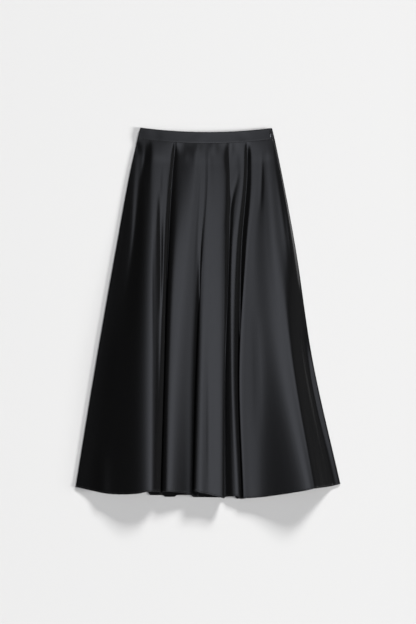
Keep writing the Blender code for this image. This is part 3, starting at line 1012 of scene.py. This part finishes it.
class SKIRT_OT_zip_slider(bpy.types.Operator):
    """Makes the zip's slider: a rounded plate with an arch for the pull tab"""

    bl_idname = "skirt.zip_slider"
    bl_label = "Zip slider"

    def execute(self, context):
        sizes = context.scene.skirt_zip
        low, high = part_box("zip_slider")
        middle = (low + high) / 2
        half = sizes.plate / 2
        arch_foot = low.z + half
        centre = (middle.x, middle.y, arch_foot)
        cube = bpy.ops.mesh.primitive_cube_add
        plate = start_shape("zip_slider_body", cube, size=1, location=centre)
        bpy.ops.transform.resize(value=(high.x - low.x, high.y - low.y, sizes.plate))
        select_parts(plate, "EDGE", lambda edge: abs(edge.verts[0].co.z - edge.verts[1].co.z) > half)
        corner = (high.x - low.x) * SLIDER_CORNER
        bpy.ops.mesh.bevel(offset=corner, segments=SLIDER_CORNER_STEPS, affect="EDGES")
        select_parts(plate, "FACE", lambda face: face.normal.z > UPWARD)
        bpy.ops.mesh.inset(thickness=SLIDER_STEP)
        bpy.ops.transform.translate(value=(0, 0, -SLIDER_STEP / 3))
        bpy.ops.object.mode_set(mode="OBJECT")
        soften(plate, SLIDER_EDGE)

        wire = sizes.arch_wire
        reach = high.z - arch_foot - wire / 2
        foot = (middle.x, middle.y - ARCH_HALF, arch_foot)
        circle = bpy.ops.mesh.primitive_circle_add
        arch = start_shape("arch", circle, vertices=ARCH_SIDES, radius=wire / 2, location=foot)
        bpy.ops.mesh.spin(steps=ARCH_STEPS, angle=-pi, center=centre, axis=(1, 0, 0))
        bpy.ops.mesh.select_all(action="SELECT")
        bpy.ops.transform.resize(value=(ARCH_BROAD, 1, reach / ARCH_HALF), center_override=centre)
        bpy.ops.mesh.fill_holes(sides=0)
        bpy.ops.mesh.normals_make_consistent(inside=False)
        bpy.ops.object.mode_set(mode="OBJECT")
        cut_or_join(plate, arch, "UNION")
        settle_piece(plate, shared_material(context, "black_zip_lacquer"))
        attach(plate, "skirt")
        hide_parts("zip_slider")
        return {"FINISHED"}


class SKIRT_OT_zip_pull(bpy.types.Operator):
    """Makes the pear-shaped pull tab that swings on the slider's arch"""

    bl_idname = "skirt.zip_pull"
    bl_label = "Zip pull"

    def execute(self, context):
        sizes = context.scene.skirt_zip
        low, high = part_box("zip_pull")
        x = (low.x + high.x) / 2
        lobe = (high.x - low.x) / 2
        base = (low.z + high.z) / 2 - sizes.tab_plate / 2
        circle = bpy.ops.mesh.primitive_circle_add
        details = {"vertices": TAB_SIDES, "radius": lobe, "fill_type": "NGON"}
        tab = start_shape("zip_pull_tab", circle, location=(x, low.y + lobe, base), **details)
        select_parts(tab, "VERT", lambda point: point.co.y > lobe * TAB_ABOVE)
        bpy.ops.transform.translate(value=(0, high.y - low.y - 2 * lobe, 0))
        bpy.ops.transform.resize(value=(TAB_NECK, TAB_NECK, 1))
        bpy.ops.mesh.select_all(action="SELECT")
        bpy.ops.mesh.extrude_region_move(TRANSFORM_OT_translate={"value": (0, 0, sizes.tab_plate)})
        for step, rise in TAB_CROWN_STEPS:
            bpy.ops.mesh.inset(thickness=step * lobe)
            bpy.ops.transform.translate(value=(0, 0, rise * sizes.tab_crown))
        bpy.ops.mesh.select_all(action="SELECT")
        bpy.ops.mesh.normals_make_consistent(inside=False)
        bpy.ops.object.mode_set(mode="OBJECT")

        hole_end = high.y - TAB_BAR - TAB_HOLE_HALF
        cylinder = bpy.ops.mesh.primitive_cylinder_add
        details = {"vertices": TAB_HOLE_SIDES, "radius": TAB_HOLE_HALF, "depth": lobe * 2}
        hole = start_shape("hole", cylinder, location=(x, hole_end, base), **details)
        select_parts(hole, "VERT", lambda point: point.co.y < 0)
        bpy.ops.transform.translate(value=(0, -(TAB_HOLE_LENGTH - 2 * TAB_HOLE_HALF), 0))
        bpy.ops.object.mode_set(mode="OBJECT")
        cut_or_join(tab, hole, "DIFFERENCE")
        soften(tab, TAB_EDGE)
        settle_piece(tab, shared_material(context, "polished_zip_metal"))
        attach(tab, "pull_tab")
        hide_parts("zip_pull")
        return {"FINISHED"}


class SKIRT_OT_stage(bpy.types.Operator):
    """Sets the floor, the soft light and the camera"""

    bl_idname = "skirt.stage"
    bl_label = "Floor, light and camera"

    def execute(self, context):
        stage = context.scene.skirt_stage
        lay_floor(stage)
        hang_overhead_light(stage)
        for lamp, power in zip(LAMPS, (stage.key, stage.fill, stage.side, stage.low)):
            aim_light(lamp, power)
        set_world(context.scene)
        set_camera(context.scene, stage)
        return {"FINISHED"}


# ---------- floor, light and camera

FLOOR_SIZE = 8.0  # metres
FAR = 60.0  # distance of the lights whose brightness stays even over the floor

# The lights round the skirt: their heading over the floor, their height in degrees over it, and
# whether the satin mirrors them
Lamp = namedtuple("Lamp", "name heading elevation distance size glossy")
LAMPS = (
    Lamp("key_light", (0.42, 0.91), 16.4, FAR, (13.5, 7.5), True),
    Lamp("fill_light", (0.0, -1.0), 35, 12.0, (15.0, 9.0), True),
    Lamp("side_light", (1.0, 0.1), 38, 4.0, (2.4, 3.0), True),
    Lamp("low_light", (1.0, -0.1), 12.5, FAR, (14.0, 8.8), False),
)
OVERHEAD_SIZE = (2.04, 6.0)
OVERHEAD_PLACE = (0.08, 1.0, 3.6)
OVERHEAD_CORE = 0.16 / 2.04  # half the evenly bright width, as a share of the whole width
OVERHEAD_WAIST = (0.39, 0.58)  # shares of the length between which it dims towards the waist
OVERHEAD_DIMMED = 0.4
WORLD_LEVEL = 0.05
CAMERA_OVER = (-0.0001, 0.0019)  # the point of the floor that the camera stands over
SENSOR = 36.0  # the camera's, in millimetres


def lay_floor(stage):
    """A plain pale floor."""
    bpy.ops.mesh.primitive_plane_add(size=FLOOR_SIZE)
    floor = bpy.context.object
    floor.name = "floor"
    look = new_material("pale_floor", on_cloth=False)
    vary_colour(look, stretched_noise(look, GRAIN), stage.floor, dark=0.995, light=1.0)
    look.shader.inputs["Roughness"].default_value = 0.9
    floor.data.materials.append(look.material)


def new_area_light(name, place, target, size, power):
    """An area light at a place, turned to a target."""
    light = bpy.data.lights.new(name, "AREA")
    light.shape = "RECTANGLE"
    light.size, light.size_y = size
    light.energy = power
    thing = bpy.data.objects.new(name, light)
    thing.location = place
    thing.rotation_mode = "QUATERNION"
    thing.rotation_quaternion = (Vector(target) - Vector(place)).to_track_quat("-Z", "Y")
    bpy.context.scene.collection.objects.link(thing)
    return thing


def aim_light(lamp, power):
    """A soft light that shines on the skirt."""
    rise = radians(lamp.elevation)
    level = Vector((*lamp.heading, 0.0)).normalized() * np.cos(rise)
    place = (level + Vector((0, 0, np.sin(rise)))) * lamp.distance
    light = new_area_light(lamp.name, place, (0, 0, 0), lamp.size, power)
    light.visible_glossy = lamp.glossy


def hang_overhead_light(stage):
    """The large light above: bright along its middle, and dimmer towards its sides and the waist."""
    width, length = OVERHEAD_SIZE
    x, y = OVERHEAD_PLACE[:2]
    power = stage.overhead * pi * width * length
    light = new_area_light("overhead_light", OVERHEAD_PLACE, (x, y, 0), OVERHEAD_SIZE, power).data
    light.color = stage.overhead_tint
    light.use_nodes = True
    nodes = light.node_tree.nodes
    links = light.node_tree.links
    place = nodes.new("ShaderNodeNewGeometry")
    parts = nodes.new("ShaderNodeSeparateXYZ")
    links.new(place.outputs["Parametric"], parts.inputs["Vector"])
    from_middle, aside, level = (nodes.new("ShaderNodeMath") for _ in range(3))
    from_middle.operation = "SUBTRACT"
    from_middle.inputs[1].default_value = 0.5
    links.new(parts.outputs["X"], from_middle.inputs[0])
    aside.operation = "ABSOLUTE"
    links.new(from_middle.outputs["Value"], aside.inputs[0])
    level.operation = "MULTIPLY"
    falls = (
        (aside.outputs["Value"], OVERHEAD_CORE, 0.5, 0.0),
        (parts.outputs["Y"], *OVERHEAD_WAIST, OVERHEAD_DIMMED),
    )
    for k, (value, start, end, dimmed) in enumerate(falls):
        fall = nodes.new("ShaderNodeMapRange")
        fall.interpolation_type = "SMOOTHSTEP"
        ends = {"From Min": start, "From Max": end, "To Min": 1.0, "To Max": dimmed}
        for name, number in ends.items():
            fall.inputs[name].default_value = number
        links.new(value, fall.inputs["Value"])
        links.new(fall.outputs["Result"], level.inputs[k])
    links.new(level.outputs["Value"], nodes["Emission"].inputs["Strength"])


def set_world(scene):
    """A faint even light from all round."""
    world = bpy.data.worlds.new("studio")
    world.use_nodes = True
    background = world.node_tree.nodes["Background"]
    background.inputs["Color"].default_value = (1.0, 1.0, 1.0, 1.0)
    background.inputs["Strength"].default_value = WORLD_LEVEL
    scene.world = world


def set_camera(scene, stage):
    """A camera straight above, whose view is stage.view_height high at the floor."""
    camera = bpy.data.cameras.new("camera")
    camera.sensor_width = SENSOR
    camera.lens = camera.sensor_width * stage.camera_height / stage.view_height
    thing = bpy.data.objects.new("camera", camera)
    thing.location = (*CAMERA_OVER, stage.camera_height)
    scene.collection.objects.link(thing)
    scene.camera = thing
    scene.view_settings.view_transform = "Standard"


class SKIRT_PT_sidebar(bpy.types.Panel):
    """Lists the skirt's pieces and sizes"""

    bl_label = "Skirt"
    bl_idname = "SKIRT_PT_sidebar"
    bl_space_type = "VIEW_3D"
    bl_region_type = "UI"
    bl_category = "Skirt"

    def draw(self, context):
        for operator in OPERATORS:
            self.layout.operator(operator.bl_idname)
        for group in GROUPS:
            settings = getattr(context.scene, group)
            box = self.layout.box()
            for name in settings.bl_rna.properties.keys():
                if name not in ("rna_type", "name"):
                    box.prop(settings, name)


OPERATORS = (
    SKIRT_OT_back_panel,
    SKIRT_OT_front_panel,
    SKIRT_OT_waistband,
    SKIRT_OT_hem_stitches,
    SKIRT_OT_zip_slit,
    SKIRT_OT_zip_slider,
    SKIRT_OT_zip_pull,
    SKIRT_OT_stage,
)
GROUPS = {
    "skirt_cloth": SkirtCloth,
    "skirt_zip": SkirtZip,
    "skirt_finish": SkirtFinish,
    "skirt_stage": SkirtStage,
}


def register():
    """Registers the classes, and the settings that each scene has."""
    for group, settings in GROUPS.items():
        bpy.utils.register_class(settings)
        setattr(bpy.types.Scene, group, PointerProperty(type=settings))
    for operator in OPERATORS:
        bpy.utils.register_class(operator)
    bpy.utils.register_class(SKIRT_PT_sidebar)


def unregister():
    """Takes back what register did."""
    bpy.utils.unregister_class(SKIRT_PT_sidebar)
    for operator in reversed(OPERATORS):
        bpy.utils.unregister_class(operator)
    for group, settings in GROUPS.items():
        delattr(bpy.types.Scene, group)
        bpy.utils.unregister_class(settings)


def main():
    """Makes all the pieces and the stage."""
    register()
    for operator in OPERATORS:
        family, name = operator.bl_idname.split(".")
        getattr(getattr(bpy.ops, family), name)()


if __name__ == "__main__":
    main()
